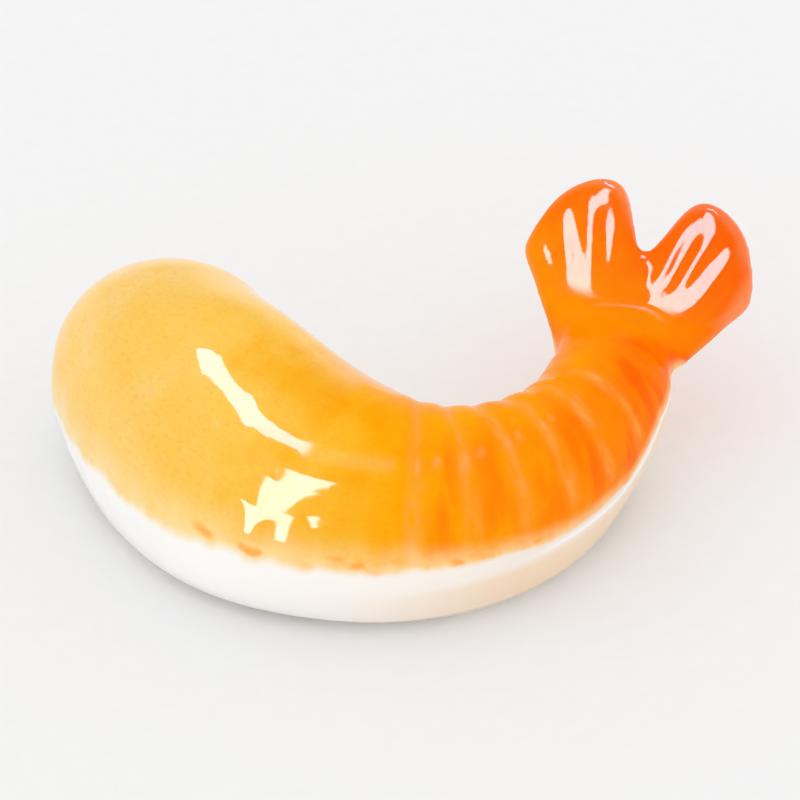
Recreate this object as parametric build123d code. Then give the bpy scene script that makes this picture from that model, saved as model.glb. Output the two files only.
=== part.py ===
from build123d import *
from collections import namedtuple
from math import cos, degrees, radians, sin
import os

# Chopstick rest in the form of a curled prawn: a porcelain body that stands on a flat bare foot,
# two porcelain tail lobes luted onto its end, and two coats of glaze that meet along the flank.
# Millimetres and degrees. The prawn curls about a vertical axis: head on -X, back towards -Y,
# tail rising on +X. The origin is on the table, under the middle of the whole form.

# Plan line of the body: a wide arc under the head runs into a tight arc under the tail
HEAD_CURL_RADIUS = 28.0
TAIL_CURL_RADIUS = 17.2
HEAD_RUN = 24.5
CURL_JOIN = 250.0

# Main rings of the body: place along the plan line, half width at the girth, girth above
# the table, crown above the girth, keel below it, and backward lean
Ring = namedtuple("Ring", "along half_width girth crown keel lean")
HEAD_RING = Ring(0.0, 10.8, 6.5, 11.1, 9.0, 4.0)
CHEEK_RING = Ring(9.0, 12.1, 5.7, 12.7, 12.4, 2.0)
BACK_RING = Ring(18.0, 13.3, 4.4, 11.2, 8.1, 0.0)
WAIST_RING = Ring(27.0, 11.6, 5.0, 9.5, 9.2, 0.0)
LOIN_RING = Ring(36.0, 8.5, 5.7, 8.5, 11.5, 0.0)
RUMP_RING = Ring(45.0, 6.1, 7.9, 6.6, 10.3, 6.0)
TAIL_RING = Ring(52.0, 5.7, 9.4, 5.5, 6.9, 14.0)
HEAD_CAP = 8.4
TAIL_CAP = 6.2

# Segment grooves across the back of the tail half, one for every few rings of the loft
RING_PITCH = 1.15
FIRST_GROOVE = 29.5
RINGS_PER_SEGMENT = 3
GROOVE_COUNT = 6
GROOVE_DEPTH = 0.25

# Tail fan: its root on the plan line and the way it points, with the outer side rolled down
# and the two lobes set in a shallow valley
FAN_ROOT_ALONG = 56.2
FAN_ROOT_HEIGHT = 10.0
FAN_TURN = 16.5
FAN_RISE = 40.4
FAN_ROLL = 6.3
FAN_VALLEY = 2.0

# One lobe, from inside the body to its widest: place along the fan, middle and half width across
# it, and half thickness. From there an elliptical end closes it, drawn in towards the other lobe.
Section = namedtuple("Section", "along middle half_width half_thickness")
LOBE_ROOT = Section(-4.0, 2.0, 2.4, 1.8)
LOBE_NECK = Section(0.0, 2.5, 3.2, 2.2)
LOBE_BLADE = Section(4.0, 3.9, 4.4, 2.1)
LOBE_WIDEST = Section(7.2, 5.0, 5.4, 1.9)
LOBE_LENGTH = 15.5
LOBE_TIP_MIDDLE = 4.3
LOBE_TIP_THINNING = 0.6
LOBE_PITCH = 2.0

# Glaze: its thickness, the bare edge of the foot, and the level where amber meets white
GLAZE = 0.4
FOOT_BARE = 0.8
COLOUR_HEIGHT = 7.0

# Rounded ends stop at this angle of their ellipse, on a small flat
CAP_END = 89.0


def plan_point(along):
    """Plan point and heading at a length along the curl."""
    join = radians(CURL_JOIN)
    radius = HEAD_CURL_RADIUS if along < HEAD_RUN else TAIL_CURL_RADIUS
    angle = join + (along - HEAD_RUN) / radius
    offset = TAIL_CURL_RADIUS - radius
    x = offset * cos(join) + radius * cos(angle)
    y = offset * sin(join) + radius * sin(angle)
    return x, y, degrees(angle) + 90


def ring_plane(ring):
    """Plane across the body at a ring: X points into the curl, Y up."""
    x, y, heading = plan_point(ring.along)
    turn = radians(heading)
    lean = radians(ring.lean)
    travel = (cos(turn) * cos(lean), sin(turn) * cos(lean), sin(lean))
    inward = (-sin(turn), cos(turn), 0)
    return Plane((x, y, ring.girth), x_dir=inward, z_dir=travel)


def ring_face(ring):
    """A ring's section: two crown quarters and two keel quarters that meet at the girth."""
    quarters = []
    for start, height in ((0, ring.crown), (90, ring.crown), (180, ring.keel), (270, ring.keel)):
        quarters.append(EllipticalCenterArc((0, 0), ring.half_width, height, start, arc_size=90))
    return ring_plane(ring) * make_face(quarters)


def smooth(main, along):
    """Section at any place, on a smooth cubic through the main ones and straight on past them."""
    span = max([i for i in range(len(main) - 1) if main[i].along <= along], default=0)
    before, near, far, after = [main[min(max(span + i, 0), len(main) - 1)] for i in (-1, 0, 1, 2)]
    step = far.along - near.along
    t = (along - near.along) / step
    values = []
    for b, n, f, a in zip(before, near, far, after):
        slope_near = (f - b) / (far.along - before.along) * step
        slope_far = (a - n) / (after.along - near.along) * step
        if t < 0:
            values.append(n + slope_near * t)
        elif t > 1:
            values.append(f + slope_far * (t - 1))
        else:
            start = n * (2 * t**3 - 3 * t**2 + 1) + slope_near * (t**3 - 2 * t**2 + t)
            values.append(start + f * (3 * t**2 - 2 * t**3) + slope_far * (t**3 - t**2))
    return type(near)(*values)._replace(along=along)


def smooth_ring(along):
    """Ring of the body at any place along the plan line."""
    main = [HEAD_RING, CHEEK_RING, BACK_RING, WAIST_RING, LOIN_RING, RUMP_RING, TAIL_RING]
    return smooth(main, along)


def cap_rings(end, way, length, inset):
    """Rings that close an end of the body on an ellipse, outwards: way is +1 or -1 along the curl."""
    count = round(length / RING_PITCH)
    rings = []
    for step in range(1, count + 1):
        angle = radians(CAP_END * step / count)
        ring = smooth_ring(end + way * (length - inset) * sin(angle))
        rings.append(ring._replace(
            half_width=ring.half_width * cos(angle),
            crown=ring.crown * cos(angle),
            keel=ring.keel * cos(angle),
        ))
    return rings


def body_rings(inset):
    """Rings of the body from head to tail, inside a coat of the given thickness."""
    count = round((TAIL_RING.along - HEAD_RING.along) / RING_PITCH)
    step = (TAIL_RING.along - HEAD_RING.along) / count
    rings = [smooth_ring(HEAD_RING.along + index * step) for index in range(count + 1)]
    head = cap_rings(HEAD_RING.along, -1, HEAD_CAP, inset)
    tail = cap_rings(TAIL_RING.along, 1, TAIL_CAP, inset)
    return [drawn_in(ring, inset) for ring in head[::-1] + rings + tail]


def drawn_in(ring, depth):
    """The same ring drawn in all round, at most to half its size."""
    return ring._replace(
        half_width=max(ring.half_width - depth, ring.half_width / 2),
        crown=max(ring.crown - depth, ring.crown / 2),
        keel=max(ring.keel - depth, ring.keel / 2),
    )


def abdomen(groove_depth, inset):
    """Body of the prawn without its lobes, inside a coat of the given thickness."""
    rings = body_rings(inset)
    first = min(index for index, ring in enumerate(rings) if ring.along >= FIRST_GROOVE)
    for groove in range(GROOVE_COUNT):
        index = first + groove * RINGS_PER_SEGMENT
        rings[index] = rings[index]._replace(crown=rings[index].crown - groove_depth)
    return loft([ring_face(ring) for ring in rings])


def half_space(plane):
    """Everything on the positive side of a plane, as a box that stands clear of the form."""
    reach = 2 * (TAIL_RING.along + FAN_ROOT_ALONG)
    return plane * Box(reach, reach, reach, align=(Align.CENTER, Align.CENTER, Align.MIN))


def fan_plane():
    """Plane at the fan's root: X across the fan, Y along it, Z out of its face."""
    x, y, heading = plan_point(FAN_ROOT_ALONG)
    flat = Plane((x, y, FAN_ROOT_HEIGHT)) * Rot(0, 0, heading - 90 - FAN_TURN)
    return Plane(flat * Rot(FAN_RISE, 0, 0) * Rot(0, FAN_ROLL, 0))


def lobe_sections():
    """Sections of one lobe, from inside the body to a rounded tip."""
    main = [LOBE_ROOT, LOBE_NECK, LOBE_BLADE, LOBE_WIDEST]
    count = round((LOBE_WIDEST.along - LOBE_ROOT.along) / LOBE_PITCH)
    step = (LOBE_WIDEST.along - LOBE_ROOT.along) / count
    sections = [smooth(main, LOBE_ROOT.along + index * step) for index in range(count + 1)]
    end = LOBE_LENGTH - LOBE_WIDEST.along
    count = round(end / LOBE_PITCH) + 1
    for index in range(1, count + 1):
        angle = radians(CAP_END * index / count)
        sections.append(Section(
            along=LOBE_WIDEST.along + end * sin(angle),
            middle=LOBE_WIDEST.middle + (LOBE_TIP_MIDDLE - LOBE_WIDEST.middle) * (1 - cos(angle)),
            half_width=LOBE_WIDEST.half_width * cos(angle),
            half_thickness=LOBE_WIDEST.half_thickness * cos(angle)**LOBE_TIP_THINNING,
        ))
    return sections


def lobe(side):
    """One tail lobe: side is +1 for the outer lobe, -1 for the inner one."""
    tilted = fan_plane().location * Rot(0, -side * FAN_VALLEY, 0)
    faces = []
    for section in lobe_sections():
        upright = Pos(side * section.middle, section.along, 0) * Rot(-90, 0, 0)
        faces.append(Plane(tilted * upright) * Ellipse(section.half_width, section.half_thickness))
    return loft(faces)


def fan_half(side):
    """Everything on one side of the fan's middle plane."""
    fan = fan_plane()
    return half_space(Plane(fan.origin, x_dir=fan.y_dir, z_dir=fan.x_dir * side))


os.makedirs("parts", exist_ok=True)

# Porcelain body on its flat foot, and the coat round it down to the bare edge of the foot
glazed_body = abdomen(GROOVE_DEPTH, 0)
bare_body = abdomen(0, GLAZE)
coat = (glazed_body - bare_body) & half_space(Plane.XY.offset(FOOT_BARE))

# Amber meets white on a level line along the flank
colour_line = Plane.XY.offset(COLOUR_HEIGHT)
nodes = {
    "porcelain_body": bare_body & half_space(Plane.XY),
    "amber_glaze": coat & half_space(colour_line),
    "white_glaze": coat & half_space(-colour_line),
}

# Each lobe is seated on the end of the body and meets its twin along the middle of the fan
for name, side in {"outer_tail_lobe": 1, "inner_tail_lobe": -1}.items():
    nodes[name] = (lobe(side) & fan_half(side)) - glazed_body

# The origin is on the table under the middle of the form
form = glazed_body.bounding_box()
for name in ("outer_tail_lobe", "inner_tail_lobe"):
    form = form.add(nodes[name].bounding_box())
to_origin = Pos(-form.center().X, -form.center().Y, 0)
for name, solid in nodes.items():
    export_step(to_origin * solid, f"parts/{name}.step")
    print(name, len(solid.solids()), solid.is_valid)
print("size", form.size.X, form.size.Y, form.max.Z, "shift", to_origin.position)
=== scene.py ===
# %% [markdown]
# A chopstick rest of glazed porcelain, shaped as a curled prawn. The solids come from a CAD model at
# their real size, and this lesson gives them their fired surface: one skin of glaze that melts over the
# joints, painted by hand from pale yellow at the head to deep orange at the tail, above a plain white
# belly.
#
# Blender works in metres here, so a length in millimetres is written as a number times MM. Relief and
# paint are worked out further down on lengths that were divided by MM, so their numbers are plain
# millimetres.

# %% Load the solids
import math

import bmesh
import bpy
import numpy as np
from mathutils import Matrix, Vector


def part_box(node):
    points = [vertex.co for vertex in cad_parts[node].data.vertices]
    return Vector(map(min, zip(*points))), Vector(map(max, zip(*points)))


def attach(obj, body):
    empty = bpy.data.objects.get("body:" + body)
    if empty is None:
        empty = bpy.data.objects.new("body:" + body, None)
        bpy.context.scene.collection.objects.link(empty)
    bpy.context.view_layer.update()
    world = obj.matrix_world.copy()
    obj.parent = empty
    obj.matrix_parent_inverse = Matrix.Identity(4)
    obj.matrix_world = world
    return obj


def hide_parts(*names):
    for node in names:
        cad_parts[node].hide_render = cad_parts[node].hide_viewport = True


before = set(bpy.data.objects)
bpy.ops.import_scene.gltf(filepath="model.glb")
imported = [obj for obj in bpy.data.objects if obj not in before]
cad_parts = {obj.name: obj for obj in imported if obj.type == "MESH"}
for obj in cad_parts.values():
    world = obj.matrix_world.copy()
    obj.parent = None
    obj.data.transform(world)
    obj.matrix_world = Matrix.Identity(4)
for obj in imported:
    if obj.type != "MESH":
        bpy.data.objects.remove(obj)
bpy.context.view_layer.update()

MM = 0.001


def in_mm(lengths):
    """Lengths in millimetres, rounded for printing."""
    return [round(float(length) / MM, 2) for length in lengths]


print("solids:", sorted(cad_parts))

# %% [markdown]
# The prawn is bent along a plan line of two arcs: a wide one under the head, a tight one under the tail.
# A length along that line says where a point is on the animal, and a distance from it says on which
# flank. Grooves and paint could be placed by x and y, but then they would cross the curl at a slant. Both
# arcs are found here from the corner of the porcelain body's own box.

# %% The curl: how far along the animal a point is
HEAD_CURL_RADIUS = 28.0 * MM
TAIL_CURL_RADIUS = 17.2 * MM
HEAD_RUN = 24.5 * MM
CURL_JOIN = math.radians(250)
CURL_GAP = math.radians(100)
TAIL_CENTRE_FROM_CORNER = Vector((32.681, 27.826, 0)) * MM

tail_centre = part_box("porcelain_body")[0] + TAIL_CENTRE_FROM_CORNER
radius_step = TAIL_CURL_RADIUS - HEAD_CURL_RADIUS
head_centre = tail_centre + radius_step * Vector((math.cos(CURL_JOIN), math.sin(CURL_JOIN), 0))


def angle_about(centre, points):
    """Angle in plan about a centre, counted on past a full turn up to the gap between tail and head."""
    angle = np.arctan2(points[:, 1] - centre.y, points[:, 0] - centre.x)
    return np.where(angle < CURL_GAP, angle + 2 * math.pi, angle)


def along_curl(points):
    """Length along the plan line, from the head's ring, for points in the part's frame."""
    tail_angle = angle_about(tail_centre, points)
    head_angle = angle_about(head_centre, points)
    tail = HEAD_RUN + (tail_angle - CURL_JOIN) * TAIL_CURL_RADIUS
    head = HEAD_RUN + (head_angle - CURL_JOIN) * HEAD_CURL_RADIUS
    return np.where(tail_angle > CURL_JOIN, tail, head)


def outward(points):
    """Distance from the plan line in plan: positive on the outside of the curl."""
    tail = np.hypot(points[:, 0] - tail_centre.x, points[:, 1] - tail_centre.y) - TAIL_CURL_RADIUS
    head = np.hypot(points[:, 0] - head_centre.x, points[:, 1] - head_centre.y) - HEAD_CURL_RADIUS
    return np.where(angle_about(tail_centre, points) > CURL_JOIN, tail, head)


print("centres of the tail's and head's arcs in mm:", in_mm(tail_centre), in_mm(head_centre))

# %% [markdown]
# The tail fan lies askew to everything else, so it gets a frame of its own: across it, along it and out
# of its face. The frame is turned, tipped up and rolled in the same order as the solids were. Work on the
# fan is then as simple as on a flat plate, and the rays scored on it later start at the real root.

# %% The tail fan's own frame
FAN_ROOT_ALONG = 56.2 * MM
FAN_ROOT_HEIGHT = 10.0 * MM
FAN_TURN = math.radians(16.5)
FAN_RISE = math.radians(40.4)
FAN_ROLL = math.radians(6.3)

root_angle = CURL_JOIN + (FAN_ROOT_ALONG - HEAD_RUN) / TAIL_CURL_RADIUS
fan_root = tail_centre + TAIL_CURL_RADIUS * Vector((math.cos(root_angle), math.sin(root_angle), 0))
fan_root.z = FAN_ROOT_HEIGHT
fan_heading = root_angle - FAN_TURN
fan_axes = np.array(
    Matrix.Rotation(fan_heading, 3, "Z")
    @ Matrix.Rotation(FAN_RISE, 3, "X")
    @ Matrix.Rotation(FAN_ROLL, 3, "Y")
)


def in_fan(points):
    """Points in the fan's frame: across, along and out of its face."""
    return (points - np.array(fan_root)) @ fan_axes


print("fan root in mm:", in_mm(fan_root))

# %% [markdown]
# On the real rest the glaze is one glassy skin. It bridges the line where a lobe meets the body and
# rounds every crease. A bevel could round single edges, but not a joint of free forms. So copies of the
# solids are joined and rebuilt from small cubes, which gives one closed skin. A pat of slip goes over the
# joint of the lobes first, as a potter fills it.

# %% Melt the solids into one skin
SLIP_SIZE = Vector((4.6, 6.4, 3.1)) * MM
SLIP_FROM_ROOT = Vector((-0.3, -1.2, 1.3)) * MM
SLIP_TIP = math.radians(-10)
SLIP_FACETS = 48
GRAIN = 0.3 * MM

slip_turn = Matrix.Rotation(fan_heading, 4, "Z") @ Matrix.Rotation(SLIP_TIP, 4, "X")
slip_place = Matrix.Translation(fan_root + SLIP_FROM_ROOT) @ slip_turn @ Matrix.Diagonal(SLIP_SIZE.to_4d())
copies = bmesh.new()
for solid in sorted(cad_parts):
    copies.from_mesh(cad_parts[solid].data)
bmesh.ops.create_uvsphere(
    copies, u_segments=SLIP_FACETS, v_segments=SLIP_FACETS // 2, radius=1.0, matrix=slip_place
)
rough = bpy.data.meshes.new("glaze_coat")
copies.to_mesh(rough)
copies.free()

skin = bpy.data.objects.new("glaze_coat", rough)
bpy.context.scene.collection.objects.link(skin)
cubes = skin.modifiers.new("cubes", "REMESH")
cubes.mode = "VOXEL"
cubes.voxel_size = GRAIN
rebuilt = skin.evaluated_get(bpy.context.evaluated_depsgraph_get())
skin.data = bpy.data.meshes.new_from_object(rebuilt)
skin.modifiers.clear()
print("skin:", len(skin.data.vertices), "points")

# %% [markdown]
# Molten glaze flows level, so the cubes' steps and the solids' facets have to go. Moving each point
# towards the mean of its neighbours does that, but it also shrinks thin things like the fan. Each round
# of smoothing is therefore followed by a swelling of about the same size. Numpy does it on all points at
# once.

# %% Let the glaze flow level
FLOW_ROUNDS = 45
FLOW_PULL = 0.5
FLOW_SWELL = -0.52


def read_rows(items, field):
    """A field of three numbers, read from all items into rows."""
    flat = np.zeros(3 * len(items))
    items.foreach_get(field, flat)
    return flat.reshape(-1, 3)


def write_points(mesh, points):
    """Puts rows of x, y, z back into the mesh."""
    mesh.vertices.foreach_set("co", points.ravel())
    mesh.update()


def neighbour_mean(mesh):
    """A function that gives each point the mean of its neighbours' values."""
    ends = np.zeros(2 * len(mesh.edges), int)
    mesh.edges.foreach_get("vertices", ends)
    ends = ends.reshape(-1, 2)
    here = np.concatenate([ends[:, 0], ends[:, 1]])
    there = np.concatenate([ends[:, 1], ends[:, 0]])
    size = len(mesh.vertices)
    count = np.bincount(here, minlength=size)

    def mean(values):
        columns = values.reshape(size, -1).T
        totals = [np.bincount(here, weights=column[there], minlength=size) for column in columns]
        return (np.array(totals) / count).T.reshape(values.shape)

    return mean


mean = neighbour_mean(skin.data)
points = read_rows(skin.data.vertices, "co")
stepped = points.copy()
for flow_round in range(FLOW_ROUNDS):
    for pull in (FLOW_PULL, FLOW_SWELL):
        points += pull * (mean(points) - points)
write_points(skin.data, points)
skin.data.shade_smooth()
print("points moved by up to mm:", in_mm([np.linalg.norm(points - stepped, axis=1).max()]))

# %% [markdown]
# The lobes were stuck on with slip, so the tail runs into its fan in one sweep. More smoothing everywhere
# would blur the whole form. Instead, rounds that may only add and never take away fill the crease at the
# joint and the one between the lobes. Two simple curves say where: a bell and a soft step.

# %% Fill the joint
FILL_ROUNDS = 216
FILL_MIDDLE = 1.6
FILL_REACH = 3.4
FILL_WIDTH = 5.5
CREASE_WIDTH = 1.3
CREASE_START = (0.0, 2.0)
CREASE_END = (7.0, 9.0)
TAIL_SIDE = 8.0
NORMALS_EVERY = 12


def bell(values, width):
    """1 at zero, and less and less on both sides."""
    return np.exp(-((values / width) ** 2))


def rises(values, span):
    """0 before a span, 1 after it, and a soft step between."""
    low, high = span
    t = np.clip((values - low) / (high - low), 0, 1)
    return t * t * (3 - 2 * t)


def falls(values, span):
    """1 before a span, 0 after it, and a soft step between."""
    return 1 - rises(values, span)


across, reach, height = in_fan(points).T / MM
tail_half = points[:, 0] / MM > TAIL_SIDE
at_joint = bell(reach - FILL_MIDDLE, FILL_REACH) * bell(across, FILL_WIDTH) * tail_half
in_crease = bell(across, CREASE_WIDTH) * rises(reach, CREASE_START) * falls(reach, CREASE_END) * tail_half
filled = np.maximum(at_joint, in_crease)
unfilled = points.copy()
for fill_round in range(FILL_ROUNDS):
    if fill_round % NORMALS_EVERY == 0:
        write_points(skin.data, points)
        normals = read_rows(skin.data.vertex_normals, "vector")
    added = np.maximum(np.einsum("ij,ij->i", mean(points) - points, normals), 0)
    points += (filled * added)[:, None] * normals
print("crease filled by up to mm:", in_mm([np.linalg.norm(points - unfilled, axis=1).max()]))

# %% [markdown]
# Between the lobes the notch was opened with a knife while the clay was soft: it runs deeper than two
# lobes laid side by side would leave it. A boolean cut would leave sharp walls, so the points near the
# middle of the fan are moved back and apart instead, and the rim stays round.

# %% Open the notch
NOTCH_BACK = 1.5
NOTCH_BACK_WIDTH = 2.0
NOTCH_BACK_START = (4.0, 8.5)
NOTCH_APART = 0.6
NOTCH_APART_TURN = 0.8
NOTCH_APART_WIDTH = 3.0
NOTCH_APART_START = (6.0, 9.5)

across, reach, height = in_fan(points).T / MM
back = NOTCH_BACK * bell(across, NOTCH_BACK_WIDTH) * rises(reach, NOTCH_BACK_START) * tail_half
apart = NOTCH_APART * np.tanh(across / NOTCH_APART_TURN) * bell(across, NOTCH_APART_WIDTH)
apart *= rises(reach, NOTCH_APART_START) * tail_half
opened = np.stack([apart, -back, np.zeros(len(points))], axis=1) * MM
points += opened @ fan_axes.T
print("notch opened by up to mm:", in_mm([np.linalg.norm(opened, axis=1).max()]))

# %% [markdown]
# The fan was pressed in a mould. Each lobe has a flat face with a round rim, and shallow rays run from
# the root towards the tip. The rays matter for the look: a lamp in the glaze breaks into streaks along
# them. A bump map could fake the rays but not the flat face, so both are real relief. It only ever cuts
# into the skin, and the rest keeps its size.

# %% Press the lobes flat and score their rays
FAN_HALF_WIDTH = 13.0
FAN_START = (0.5, 3.0)
FACE_BOTTOM = (-0.3, 0.6)
FACE_TOP = (2.6, 3.6)
PAD_HEIGHT = 0.9
PAD_PRESS = 0.7
PAD_PRESS_LIMIT = 1.6
PAD_SLOPE = 0.12
LOBE_MIDDLE = 4.5
VALLEY_HALF_WIDTH = 1.5
RAY_DEPTH = 0.12
RAY_ANGLE = math.radians(8.5)
RAY_CENTRE = 6.0
OUTER_RAY_START = 5.0
INNER_RAY_START = 2.5
RAY_FADE_IN = (0.0, 3.5)
RAY_END = (11.0, 14.0)


def wave(values, pitch):
    """From 0 to 1 and back once in every pitch."""
    return 0.5 - 0.5 * np.cos(2 * math.pi * values / pitch)


across, reach, height = in_fan(points).T / MM
over_fan = (np.abs(across) < FAN_HALF_WIDTH) * tail_half
on_fan = rises(reach, FAN_START) * over_fan
face = on_fan * rises(height, FACE_BOTTOM) * falls(height, FACE_TOP)
pad = PAD_HEIGHT + PAD_SLOPE * (across - LOBE_MIDDLE * np.tanh(across / VALLEY_HALF_WIDTH))
pressed = PAD_PRESS * np.clip(height - pad, 0, PAD_PRESS_LIMIT)
rays = RAY_DEPTH * wave(np.arctan2(across, reach + RAY_CENTRE), RAY_ANGLE)
ray_start = np.where(across > 0, OUTER_RAY_START, INNER_RAY_START)
rays *= rises(reach - ray_start, RAY_FADE_IN) * falls(reach, RAY_END)
cut = face * (pressed + rays) * MM
points -= cut[:, None] * fan_axes[:, 2]
print("lobes pressed by up to mm:", in_mm([cut.max()]))

# %% [markdown]
# Before firing, a damp sponge goes over the work. A few strokes soften the pressed faces, and many
# strokes take the line of the joint away at the fan's root. Smoothing does the same here, by an amount
# for every point.

# %% Sponge the fan
SPONGE_PULL = 0.5
FACE_STROKES = 12
ROOT_STROKES = 160
ROOT_MIDDLE = 2.7
ROOT_REACH = 2.2
ROOT_BOTTOM = (0.0, 1.5)


def sponged(points, where, strokes):
    """Points drawn towards the mean of their neighbours, by the amount in where, stroke after stroke."""
    for sponge_stroke in range(strokes):
        points = points + SPONGE_PULL * where[:, None] * (mean(points) - points)
    return points


at_root = bell(reach - ROOT_MIDDLE, ROOT_REACH) * over_fan * rises(height, ROOT_BOTTOM)
scored = points.copy()
points = sponged(points, face, FACE_STROKES)
points = sponged(points, at_root, ROOT_STROKES)
print("sponge moved points by up to mm:", in_mm([np.linalg.norm(points - scored, axis=1).max()]))

# %% [markdown]
# The shell's segments are drawn across the back of the tail half as narrow grooves, and soft upright
# flutes run down the head's flank, where the glaze ran. Both are waves along the curl, faded in and out
# where the real ones stop. The solids already have the grooves, so only a little more depth is added
# here.

# %% Segment grooves and flutes
FIRST_GROOVE = 30.0
SEGMENT_LENGTH = 3.47
GROOVE_COUNT = 6
GROOVE_HALF_WIDTH = 0.45
GROOVE_EXTRA = 0.06
GROOVE_BOTTOM = (7.0, 9.5)
GROOVE_FAN_END = (0.0, 2.0)
FLUTE_PITCH = 3.4
FLUTE_DEPTH = 0.1
FLUTE_BOTTOM = (2.5, 5.0)
FLUTE_TOP = (9.0, 11.5)
FLUTE_FLANK = (5.0, 8.0)
FLUTE_END = (26.0, 31.0)

run = along_curl(points) / MM
out = outward(points) / MM
rise = points[:, 2] / MM
off_fan = 1 - rises(reach, GROOVE_FAN_END) * tail_half
groove_places = [FIRST_GROOVE + SEGMENT_LENGTH * i for i in range(GROOVE_COUNT)]
groove = sum(bell(run - place, GROOVE_HALF_WIDTH) for place in groove_places)
groove *= off_fan * rises(rise, GROOVE_BOTTOM)
flute = wave(run, FLUTE_PITCH) * rises(rise, FLUTE_BOTTOM) * falls(rise, FLUTE_TOP)
flute *= rises(out, FLUTE_FLANK) * falls(run, FLUTE_END)
write_points(skin.data, points)
depth = (GROOVE_EXTRA * groove + FLUTE_DEPTH * flute) * MM
points -= depth[:, None] * read_rows(skin.data.vertex_normals, "vector")
write_points(skin.data, points)
print("deepest groove or flute in mm:", in_mm([depth.max()]))

# %% [markdown]
# The paint follows the animal, so the lesson works out a few plain numbers for every point of the skin,
# and the glaze recipe reads them later. An image could hold the paint too, but then the skin would have
# to be unwrapped. The first number is how warm the paint is. It grows along the curl and on towards the
# fan's outer tip, lags on the inside of the tail, and is held back on the head's flank, which is paler.

# %% How warm the paint is
LAG_PLACES = [26.0, 52.0]
LAGS = [0.0, 3.6]
LAG_EDGE = 2.5
LAG_WIDTH = 4.0
FLANK_PALER = 7.0
PALE_FLANK = (-1.0, 4.0)
PALE_START = (5.0, 11.0)
PALE_END = (25.0, 31.0)
FAN_WARM = 37.8
FAN_WARM_ALONG = 1.5
FAN_WARM_ACROSS = 0.9

lag = np.interp(run, LAG_PLACES, LAGS)
warm_body = run + lag * np.clip(out - LAG_EDGE, -LAG_WIDTH, 0)
warm_body -= FLANK_PALER * rises(out, PALE_FLANK) * rises(run, PALE_START) * falls(run, PALE_END)
warm_fan = FAN_WARM + FAN_WARM_ALONG * reach + FAN_WARM_ACROSS * across
warm = warm_body + on_fan * (warm_fan - warm_body)
print("warmth from", round(warm.min(), 1), "to", round(warm.max(), 1))

# %% [markdown]
# Amber ends on a wavy line along the flank, above the white belly. Near the head the brush was lifted
# slowly and the edge is broad, near the tail it is crisp. So the second number is the height above the
# line as a share of the edge's width there. A third one is the depth below the belly's ridge: near the
# tail the paint uses it for a painted highlight along the ridge and painted shade under it.

# %% Where the paint ends
LINE_PLACES = [-8.0, 4.0, 10.0, 18.0, 30.0, 35.0, 40.0, 46.0, 50.0, 54.0, 60.0]
LINE_HEIGHTS = [6.4, 5.9, 6.5, 7.0, 7.0, 6.5, 6.0, 6.3, 9.2, 10.0, 10.0]
EDGE_PLACES = [0.0, 20.0, 34.0, 50.0]
EDGE_WIDTHS = [5.0, 4.6, 2.2, 1.6]
RIDGE_PLACES = [34.0, 38.0, 44.5, 46.0, 47.5, 49.5, 50.5, 54.0]
RIDGE_HEIGHTS = [5.4, 5.4, 5.5, 5.9, 6.6, 8.2, 9.3, 10.0]
FAN_COVER = 3.0
FAN_COVER_START = (0.5, 2.5)

cover = (rise - np.interp(run, LINE_PLACES, LINE_HEIGHTS)) / np.interp(run, EDGE_PLACES, EDGE_WIDTHS)
fan_cover = FAN_COVER * rises(reach, FAN_COVER_START)
cover = np.where(on_fan > 0, np.maximum(cover, fan_cover), cover)
below_ridge = np.interp(run, RIDGE_PLACES, RIDGE_HEIGHTS) - rise
print("share of points under amber:", round(np.mean(cover > 0), 2))

# %% [markdown]
# Glaze gathers as it melts. Colour pools on the swell between two grooves, and the segments and the fan's
# root come out of the kiln less glossy than the head. The paint is made paler on sharp rims. How far a
# point stands out from its neighbours tells where the skin has such a rim.

# %% Where the glaze is pooled or matt, and where rims are thin
POOL_GAP = 1.1
POOL_START = (28.0, 31.0)
POOL_BOTTOM = (7.0, 9.0)
POOL_FLANK = (-1.0, 4.0)
MATT_FROM = 21.8
MATT_LATER = 4.5
MATT_CROWN = (13.1, 13.5)
MATT_FADE_IN = (0.0, 1.3)
MATT_BOTTOM = (5.0, 7.0)
MATT_FAN_END = (4.2, 5.4)
RIM_ROUNDS = 16
RIM_STANDS_OUT = (0.0055, 0.013)

beside = sum(bell(run - place, POOL_GAP) for place in groove_places)
pool = off_fan * np.clip(1 - beside, 0, 1) * rises(run, POOL_START)
pool *= rises(rise, POOL_BOTTOM) * rises(out, POOL_FLANK)
matt_start = MATT_FROM + MATT_LATER * falls(rise, MATT_CROWN)
matt = rises(run - matt_start, MATT_FADE_IN) * rises(rise, MATT_BOTTOM)
matt *= 1 - rises(reach, MATT_FAN_END) * tail_half
normals = read_rows(skin.data.vertex_normals, "vector")
stands_out = np.einsum("ij,ij->i", points - mean(points), normals) / MM
for rim_round in range(RIM_ROUNDS):
    stands_out = mean(stands_out)
thin = rises(stands_out, RIM_STANDS_OUT)
print("shares pooled, matt and thin:", [round(float(np.mean(share)), 2) for share in (pool, matt, thin)])

# %% [markdown]
# A mesh can carry such numbers as named attributes, one value for every point, and a shader finds them by
# name. The place along, across and up the animal goes with them: brush strokes follow it round the curl.

# %% Keep the numbers on the skin


def keep(mesh, name, values):
    """Stores one number or one row of three for every point of a mesh."""
    kind, field = ("FLOAT", "value") if values.ndim == 1 else ("FLOAT_VECTOR", "vector")
    layer = mesh.attributes.new(name, kind, "POINT")
    layer.data.foreach_set(field, values.astype(np.float32).ravel())


paint_numbers = {
    "warm": warm,
    "cover": cover,
    "groove": groove,
    "thin": thin,
    "pool": pool,
    "matt": matt,
    "below_ridge": below_ridge,
    "stroke": np.stack([run, out, rise], axis=1),
}
for name, values in paint_numbers.items():
    keep(skin.data, name, values)
print("numbers kept for each point:", list(paint_numbers))

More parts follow.
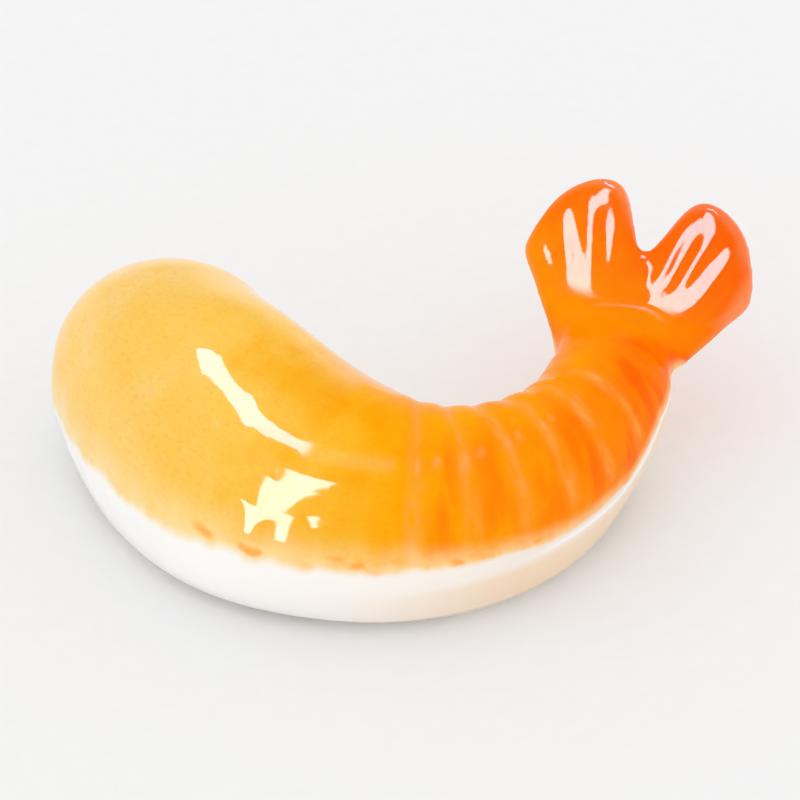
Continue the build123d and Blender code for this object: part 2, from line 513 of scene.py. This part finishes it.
# %% [markdown]
# A potter wipes the glaze off the foot so that the rest doesn't stick to the kiln shelf. The skin is
# trimmed level there and closed, and the bare porcelain body shows below it. A plane cuts the mesh
# without disturbing the numbers that its points carry.

# %% Wipe the foot
FOOT_BARE = 0.8 * MM
FOOT_MARGIN = 1.1
FACING_DOWN = -0.99

trim = bmesh.new()
trim.from_mesh(skin.data)
everything = trim.verts[:] + trim.edges[:] + trim.faces[:]
bmesh.ops.bisect_plane(
    trim, geom=everything, plane_co=(0, 0, FOOT_BARE), plane_no=(0, 0, 1), clear_inner=True
)
rim_edges = [e for e in trim.edges if e.is_boundary]
closing = bmesh.ops.edgeloop_fill(trim, edges=rim_edges)["faces"]
bmesh.ops.triangulate(trim, faces=closing)
for facet in trim.faces:
    above_foot = facet.calc_center_median().z > FOOT_MARGIN * FOOT_BARE
    facet.smooth = above_foot or facet.normal.z > FACING_DOWN
trim.to_mesh(skin.data)
trim.free()
skin.data.calc_loop_triangles()
print("skin after the trim:", len(skin.data.loop_triangles), "triangles")

# %% [markdown]
# The glaze is painted in thin layers over white porcelain and fired under a clear coat. Its recipe is a
# tree of shader nodes, and a few helpers keep it readable. It starts with the unevenness of hand work:
# noise that is long across the animal and short along it gives brush strokes round the body, even noise
# gives clouds, washes and grains of pigment.

# %% Brush marks
STROKE_PULL = (1.0, 0.22, 0.22)


def recipe(name):
    """An empty material with its tree of nodes."""
    material = bpy.data.materials.new(name)
    material.use_nodes = True
    material.node_tree.nodes.clear()
    return material, material.node_tree


def add(tree, kind, sockets=None, **settings):
    """Adds a node: sockets get a value or another node's output, settings are its own switches."""
    node = tree.nodes.new("ShaderNode" + kind)
    for name, value in settings.items():
        setattr(node, name, value)
    for name, value in (sockets or {}).items():
        if isinstance(value, bpy.types.NodeSocket):
            tree.links.new(value, node.inputs[name])
        else:
            node.inputs[name].default_value = value
    return node


def noise(tree, vector, scale, detail=2.0, roughness=0.5):
    """Soft noise from 0 to 1 in the given coordinates."""
    sockets = {"Vector": vector, "Scale": scale, "Detail": detail, "Roughness": roughness}
    return add(tree, "TexNoise", sockets).outputs["Fac"]


glaze, tree = recipe("painted_glaze")
stroke = add(tree, "Attribute", attribute_name="stroke").outputs["Vector"]
pulled = add(tree, "VectorMath", {0: stroke, 1: STROKE_PULL}, operation="MULTIPLY").outputs[0]
brush = noise(tree, pulled, scale=0.55, detail=3.0)
bristle = noise(tree, pulled, scale=1.5, detail=4.0, roughness=0.6)
cloud = noise(tree, stroke, scale=0.16, detail=3.0)
wash = noise(tree, stroke, scale=0.42, detail=4.0, roughness=0.6)
pigment = noise(tree, stroke, scale=2.6, detail=4.0, roughness=0.7)
print("brush marks:", len(tree.nodes), "nodes")

# %% [markdown]
# A painter never lays one even tone. The number for warmth is made to wander with the brush marks, by up
# to several millimetres of the animal's length, and is raised where colour pools between the grooves. A
# node does one step of arithmetic, so short helpers for sums and soft steps come first.

# %% Uneven warmth
WANDER = 11.0
STREAK = 9.0
BLOT = 12.0
POOL_WARMER = 11.0


def kept(tree, name):
    """The number that was kept for each point under this name."""
    return add(tree, "Attribute", attribute_name=name).outputs["Fac"]


def arithmetic(tree, operation, first, second):
    """One step of arithmetic on two values."""
    return add(tree, "Math", {0: first, 1: second}, operation=operation).outputs[0]


def plus(tree, total, *others):
    """The sum of all values."""
    for other in others:
        total = arithmetic(tree, "ADD", total, other)
    return total


def minus(tree, first, second):
    """The first value less the second."""
    return arithmetic(tree, "SUBTRACT", first, second)


def times(tree, product, *others):
    """The product of all values."""
    for other in others:
        product = arithmetic(tree, "MULTIPLY", product, other)
    return product


def swing(tree, mark, width):
    """A noise from 0 to 1, turned into a swing about zero of the given width."""
    return times(tree, minus(tree, mark, 0.5), width)


def soft_step(tree, value, low, high, top=1.0):
    """0 at low and top at high, with a soft step between: it falls where low is the larger."""
    sockets = {"Value": value, "From Min": low, "From Max": high, "To Max": top}
    return add(tree, "MapRange", sockets, interpolation_type="SMOOTHSTEP").outputs["Result"]


uneven = plus(tree, swing(tree, cloud, WANDER), swing(tree, brush, STREAK), swing(tree, wash, BLOT))
pooled = times(tree, kept(tree, "pool"), soft_step(tree, brush, low=0.42, high=0.6, top=POOL_WARMER))
warmth = plus(tree, kept(tree, "warm"), uneven, pooled)
print("with uneven warmth:", len(tree.nodes), "nodes")

# %% [markdown]
# Amber glaze turns from pale yellow to deep orange as it is laid on thicker. A row of colours along the
# warmth is the simplest way to paint that, because each colour can be matched to a fired test tile.
# Grains of pigment speckle it. The grooves are painted paler in broken streaks: partly pale clay shows
# through where the brush skipped, partly it is a painted sheen that the grooves catch.

# %% The amber
SPECK_TONE = (250, 128, 0)
# The grooves' tone: partly pale clay where the brush skipped, partly a painted sheen.
GROOVE_SKIP_AND_SHEEN_TONE = (255, 166, 78)

# A mix node has a set of sockets for each kind of value. These are the ones for colours.
MIX_AMOUNT, MIX_BELOW, MIX_ABOVE, MIX_RESULT = 0, 6, 7, 2


def colour(tone):
    """A screen colour from 0 to 255, turned into the linear light that shaders mix."""
    parts = [part / 255 for part in tone]
    return [p / 12.92 if p <= 0.04045 else ((p + 0.055) / 1.055) ** 2.4 for p in parts] + [1.0]


def chart(tree, value, low, high, stops):
    """A row of colours along a value: each stop is a place between low and high, and a screen colour."""
    spread = add(tree, "MapRange", {"Value": value, "From Min": low, "From Max": high})
    row = add(tree, "ValToRGB", {"Fac": spread.outputs["Result"]})
    while len(row.color_ramp.elements) < len(stops):
        row.color_ramp.elements.new(0.5)
    for element, (place, tone) in zip(row.color_ramp.elements, stops):
        element.position = (place - low) / (high - low)
        element.color = colour(tone)
    return row.outputs["Color"]


def blend(tree, amount, below, above):
    """Lays one colour over another by an amount from 0 to 1."""
    sockets = {MIX_AMOUNT: amount, MIX_BELOW: below, MIX_ABOVE: above}
    return add(tree, "Mix", sockets, data_type="RGBA").outputs[MIX_RESULT]


amber = chart(tree, warmth, -8, 72, [
    (-6, (255, 216, 150)),
    (2, (255, 208, 104)),
    (10, (255, 203, 82)),
    (18, (255, 184, 38)),
    (26, (255, 168, 3)),
    (34, (255, 153, 2)),
    (44, (255, 134, 1)),
    (54, (255, 110, 1)),
    (66, (252, 92, 1)),
])
amber = blend(tree, soft_step(tree, pigment, low=0.45, high=0.75, top=0.22), amber, colour(SPECK_TONE))
# Pale streaks in the grooves: partly pale clay where the brush skipped, partly painted sheen.
skip_and_sheen_streaks = soft_step(tree, bristle, low=0.28, high=0.66, top=0.8)
groove_skip_and_sheen = times(tree, kept(tree, "groove"), skip_and_sheen_streaks, soft_step(tree, wash, low=0.2, high=0.6))
amber = blend(tree, groove_skip_and_sheen, amber, colour(GROOVE_SKIP_AND_SHEEN_TONE))
print("with amber:", len(tree.nodes), "nodes")

# %% [markdown]
# Near the belly the stroke runs dry. Its edge is ragged, the amber fades to a pale cream in patches, and
# here and there a full brush left a dab just above the line. On the thin rims the paint is made paler.

# %% Where the brush ran dry
RAGGED = 0.42
DRY_TONE = (255, 235, 176)
DAB_TONE = (255, 160, 6)
PALE_TONE = (255, 190, 140)
RIM_PALER = 0.25

full = kept(tree, "cover")
ragged = plus(tree, full, swing(tree, brush, RAGGED))
dry = minus(tree, 1.0, soft_step(tree, ragged, low=0.0, high=1.0))
dry = times(tree, dry, soft_step(tree, wash, low=0.15, high=0.6, top=0.68))
amber = blend(tree, dry, amber, colour(DRY_TONE))
above_line = soft_step(tree, full, low=0.0, high=0.12)
above_line = times(tree, above_line, soft_step(tree, full, low=0.5, high=0.25))
drops = noise(tree, stroke, scale=0.5, detail=1.0)
dab = times(tree, above_line, soft_step(tree, drops, low=0.57, high=0.72, top=0.8))
amber = blend(tree, dab, amber, colour(DAB_TONE))
amber = blend(tree, times(tree, kept(tree, "thin"), RIM_PALER), amber, colour(PALE_TONE))
print("with the dry edge:", len(tree.nodes), "nodes")

# %% [markdown]
# The belly is white porcelain under clear glaze. It is whitest at the head. Towards the tail it is painted
# greyer and warmer, as painted shade with a painted glow bounced from the amber. A cream painted shade
# lies under the ridge, where the side turns under, and a painted highlight runs along the ridge itself.
# The amber then goes over the belly, down to its ragged edge.

# %% The white belly
# Tones for the belly's painted shade under its ridge and the painted highlight along it.
UNDERCUT_SHADE_TONE = (246, 214, 176)
CLOUD_TONE = (246, 240, 235)
RIDGE_HIGHLIGHT_TONE = (255, 254, 252)

along = add(tree, "SeparateXYZ", {0: stroke}).outputs["X"]
below = kept(tree, "below_ridge")
# Painted shade: the belly's white turns greyer and warmer towards the tail, with a painted glow bounced
# from the amber.
belly = chart(tree, along, -8, 60, [
    (-6, (254, 253, 252)),
    (18, (255, 253, 251)),
    (28, (253, 247, 240)),
    (38, (246, 234, 222)),
    (56, (242, 228, 214)),
])
# Painted shade: a cream tone under the belly's ridge, where the side turns under, towards the tail.
shade_below_ridge = soft_step(tree, below, low=0.1, high=1.3, top=0.8)
undercut_shade = times(tree, soft_step(tree, along, low=24.0, high=38.0), shade_below_ridge)
belly = blend(tree, undercut_shade, belly, colour(UNDERCUT_SHADE_TONE))
belly = blend(tree, soft_step(tree, cloud, low=0.35, high=0.7, top=0.15), belly, colour(CLOUD_TONE))
# Painted highlight: a near-white line along the belly's ridge, towards the tail.
ridge_highlight = times(tree, soft_step(tree, below, low=-0.45, high=0.0), soft_step(tree, below, low=0.45, high=0.0))
ridge_highlight = times(tree, ridge_highlight, soft_step(tree, along, low=35.0, high=41.0, top=0.9))
belly = blend(tree, ridge_highlight, belly, colour(RIDGE_HIGHLIGHT_TONE))
painted = blend(tree, soft_step(tree, ragged, low=-0.1, high=0.22), belly, amber)
print("with the belly:", len(tree.nodes), "nodes")

# %% [markdown]
# Fired glaze is glass: smooth and sharp in its reflections, with a faint orange-peel ripple. A second
# coat layer in the shader would only mirror the same light twice, so one layer does. Where the glaze came
# out matt, it is a little rougher and mirrors much less.

# %% Under one clear coat
GLAZE_IOR = 1.5
RIPPLE = 0.02 * MM
FULL_SHINE = 0.5
MATT_ROUGHER = 0.1
MATT_DULLER = 0.46

ripple_height = noise(tree, stroke, scale=0.9, detail=1.0)
ripple = add(tree, "Bump", {"Height": ripple_height, "Strength": 0.25, "Distance": RIPPLE})
gloss = add(tree, "MapRange", {"Value": pigment, "To Min": 0.03, "To Max": 0.07}).outputs["Result"]
surface = add(tree, "BsdfPrincipled", {
    "Base Color": painted,
    "Roughness": plus(tree, gloss, times(tree, kept(tree, "matt"), MATT_ROUGHER)),
    "Specular IOR Level": minus(tree, FULL_SHINE, times(tree, kept(tree, "matt"), MATT_DULLER)),
    "IOR": GLAZE_IOR,
    "Normal": ripple.outputs["Normal"],
})
add(tree, "OutputMaterial", {"Surface": surface.outputs["BSDF"]})
skin.data.materials.clear()
skin.data.materials.append(glaze)
print("painted glaze:", len(tree.nodes), "nodes")

# %% [markdown]
# The foot is unglazed porcelain: matte, off-white, a little speckled, and faintly rough from the wiping
# sponge. It is the CAD solid itself, so it needs only a finish. Noise in the object's own coordinates
# gives the marks of the sponge and the specks.

# %% The bare porcelain
BISCUIT_TONE = (240, 235, 226)
WIPED_TONE = (226, 218, 205)
FLECK_TONE = (176, 160, 140)
TOOTH = 0.03 * MM

bare, tree = recipe("bare_porcelain")
spot = add(tree, "TexCoord").outputs["Object"]
speckle = noise(tree, spot, scale=1.4 / MM, detail=4.0, roughness=0.65)
wiped = noise(tree, spot, scale=0.25 / MM)
wiped_amount = soft_step(tree, wiped, low=0.3, high=0.7, top=0.6)
biscuit = blend(tree, wiped_amount, colour(BISCUIT_TONE), colour(WIPED_TONE))
biscuit = blend(tree, soft_step(tree, speckle, low=0.62, high=0.75, top=0.5), biscuit, colour(FLECK_TONE))
tooth = add(tree, "Bump", {"Height": speckle, "Strength": 0.4, "Distance": TOOTH})
surface = add(tree, "BsdfPrincipled", {
    "Base Color": biscuit,
    "Roughness": add(tree, "MapRange", {"Value": wiped, "To Min": 0.7, "To Max": 0.9}).outputs["Result"],
    "Normal": tooth.outputs["Normal"],
})
add(tree, "OutputMaterial", {"Surface": surface.outputs["BSDF"]})
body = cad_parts["porcelain_body"]
body.data.materials.clear()
body.data.materials.append(bare)
print("bare porcelain:", len(tree.nodes), "nodes")

# %% [markdown]
# The rest stands on a plain pale sheet. One large square does for it, because the view never reaches its
# edges, with the faintest fibre in its tone so that it isn't dead flat. It is only the stage, not a piece
# of the rest.

# %% The sheet
SHEET_SIDE = 3.0
SHEET_TONES = (238, 238, 238), (242, 242, 242)

half = SHEET_SIDE / 2
corners = [(-half, -half, 0), (half, -half, 0), (half, half, 0), (-half, half, 0)]
sheet_mesh = bpy.data.meshes.new("sheet")
sheet_mesh.from_pydata(corners, [], [(0, 1, 2, 3)])
sheet = bpy.data.objects.new("sheet", sheet_mesh)
bpy.context.scene.collection.objects.link(sheet)
paper, tree = recipe("paper")
fibre = noise(tree, add(tree, "TexCoord").outputs["Object"], scale=0.6 / MM, detail=3.0)
shade = blend(tree, fibre, *[colour(tone) for tone in SHEET_TONES])
surface = add(tree, "BsdfPrincipled", {"Base Color": shade, "Roughness": 0.95, "Specular IOR Level": 0.0})
add(tree, "OutputMaterial", {"Surface": surface.outputs["BSDF"]})
sheet_mesh.materials.append(paper)
print("sheet of", SHEET_SIDE, "m")

# %% [markdown]
# Even white light from all sides leaves only a soft shadow at the foot. A studio's ceiling is dark beside
# its walls, though, and the glossy glaze mirrors it: a white ceiling would wash the orange out. So the
# sky is white for lighting, and for mirrored rays alone it dims, the more the further up they look.

# %% Even daylight
DAYLIGHT = 1.05
CEILING = 0.06
DIM_FROM = -0.1
DIM_TO = 0.5

world = bpy.data.worlds.new("daylight")
world.use_nodes = True
tree = world.node_tree
sky = tree.nodes["Background"]
sky.inputs["Color"].default_value = (1, 1, 1, 1)
seen_way = add(tree, "TexCoord").outputs["Generated"]
upward = add(tree, "SeparateXYZ", {0: seen_way}).outputs["Z"]
overhead = soft_step(tree, upward, DIM_FROM, DIM_TO, DAYLIGHT - CEILING)
mirrored = times(tree, overhead, add(tree, "LightPath").outputs["Is Glossy Ray"])
tree.links.new(minus(tree, DAYLIGHT, mirrored), sky.inputs["Strength"])
bpy.context.scene.world = world
bpy.context.scene.view_settings.view_transform = "Standard"
print("daylight of", DAYLIGHT, "and a mirrored ceiling of", CEILING)

# %% [markdown]
# Lamp panels overhead show in the glaze as bright shapes: a slanting strip on the back, a patch with legs
# below it, and streaks along the rays of the fan. Each panel hangs level over the rest and is placed by
# the slope at which it is seen from there. The daylight does the lighting, and the panels only make
# highlights, so they are switched off for diffuse light.

# %% Lamps overhead
LAMP_HEIGHT = 700 * MM
LAMP_LIGHT = 14.0
STRIP_TINT = (1.0, 0.7, 1.05)
PANEL_TINT = (1.0, 0.93, 1.08)


def lamp(name, tint, x_slope, y_slope, width, length, turn):
    """A level panel: middle and size as slopes seen from the rest, turned about the vertical in degrees."""
    panel = bpy.data.lights.new(name, "AREA")
    panel.shape = "RECTANGLE"
    panel.color = tint
    panel.size = width * LAMP_HEIGHT
    panel.size_y = length * LAMP_HEIGHT
    panel.energy = LAMP_LIGHT * math.pi * panel.size * panel.size_y
    holder = bpy.data.objects.new(name, panel)
    bpy.context.scene.collection.objects.link(holder)
    holder.location = (x_slope * LAMP_HEIGHT, y_slope * LAMP_HEIGHT, LAMP_HEIGHT)
    holder.rotation_euler = (0, 0, math.radians(turn))
    holder.visible_diffuse = False
    print(name, "at mm:", in_mm(holder.location))


lamp("far_lamp", STRIP_TINT, x_slope=0.015, y_slope=0.205, width=0.27, length=0.21, turn=0)
lamp("near_lamp", PANEL_TINT, x_slope=-0.255, y_slope=-0.225, width=0.11, length=0.27, turn=-30)
lamp("front_lamp", PANEL_TINT, x_slope=-0.505, y_slope=-0.575, width=0.16, length=0.72, turn=-35)
lamp("low_lamp", PANEL_TINT, x_slope=-1.28, y_slope=-1.55, width=0.32, length=1.9, turn=-38)
lamp("small_lamp", PANEL_TINT, x_slope=-0.425, y_slope=-1.03, width=0.045, length=0.45, turn=-9)

# %% [markdown]
# The camera stands where the photograph was taken: in front of the prawn's back, looking down at 38
# degrees through a long lens, so that the far lobe hardly shrinks.

# %% Camera
VIEW_TARGET = Vector((-0.059, 0.747, 10.074)) * MM
VIEW_RISE = math.radians(38)
VIEW_DISTANCE = 450 * MM
VIEW_LENS = 230.85

camera = bpy.data.objects.new("camera", bpy.data.cameras.new("camera"))
bpy.context.scene.collection.objects.link(camera)
bpy.context.scene.camera = camera
towards_camera = Vector((0, -math.cos(VIEW_RISE), math.sin(VIEW_RISE)))
camera.location = VIEW_TARGET + VIEW_DISTANCE * towards_camera
camera.rotation_euler = (-towards_camera).to_track_quat("-Z", "Y").to_euler()
camera.data.lens = VIEW_LENS
print("camera at mm:", in_mm(camera.location))

# %% [markdown]
# The one skin stands in for the two coats of glaze and the two lobes, which it covers. The bare body
# keeps its own solid. The part is one rigid piece, so the skin rides on its only body.

# %% Hand over
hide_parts("amber_glaze", "white_glaze", "outer_tail_lobe", "inner_tail_lobe")
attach(skin, "root")
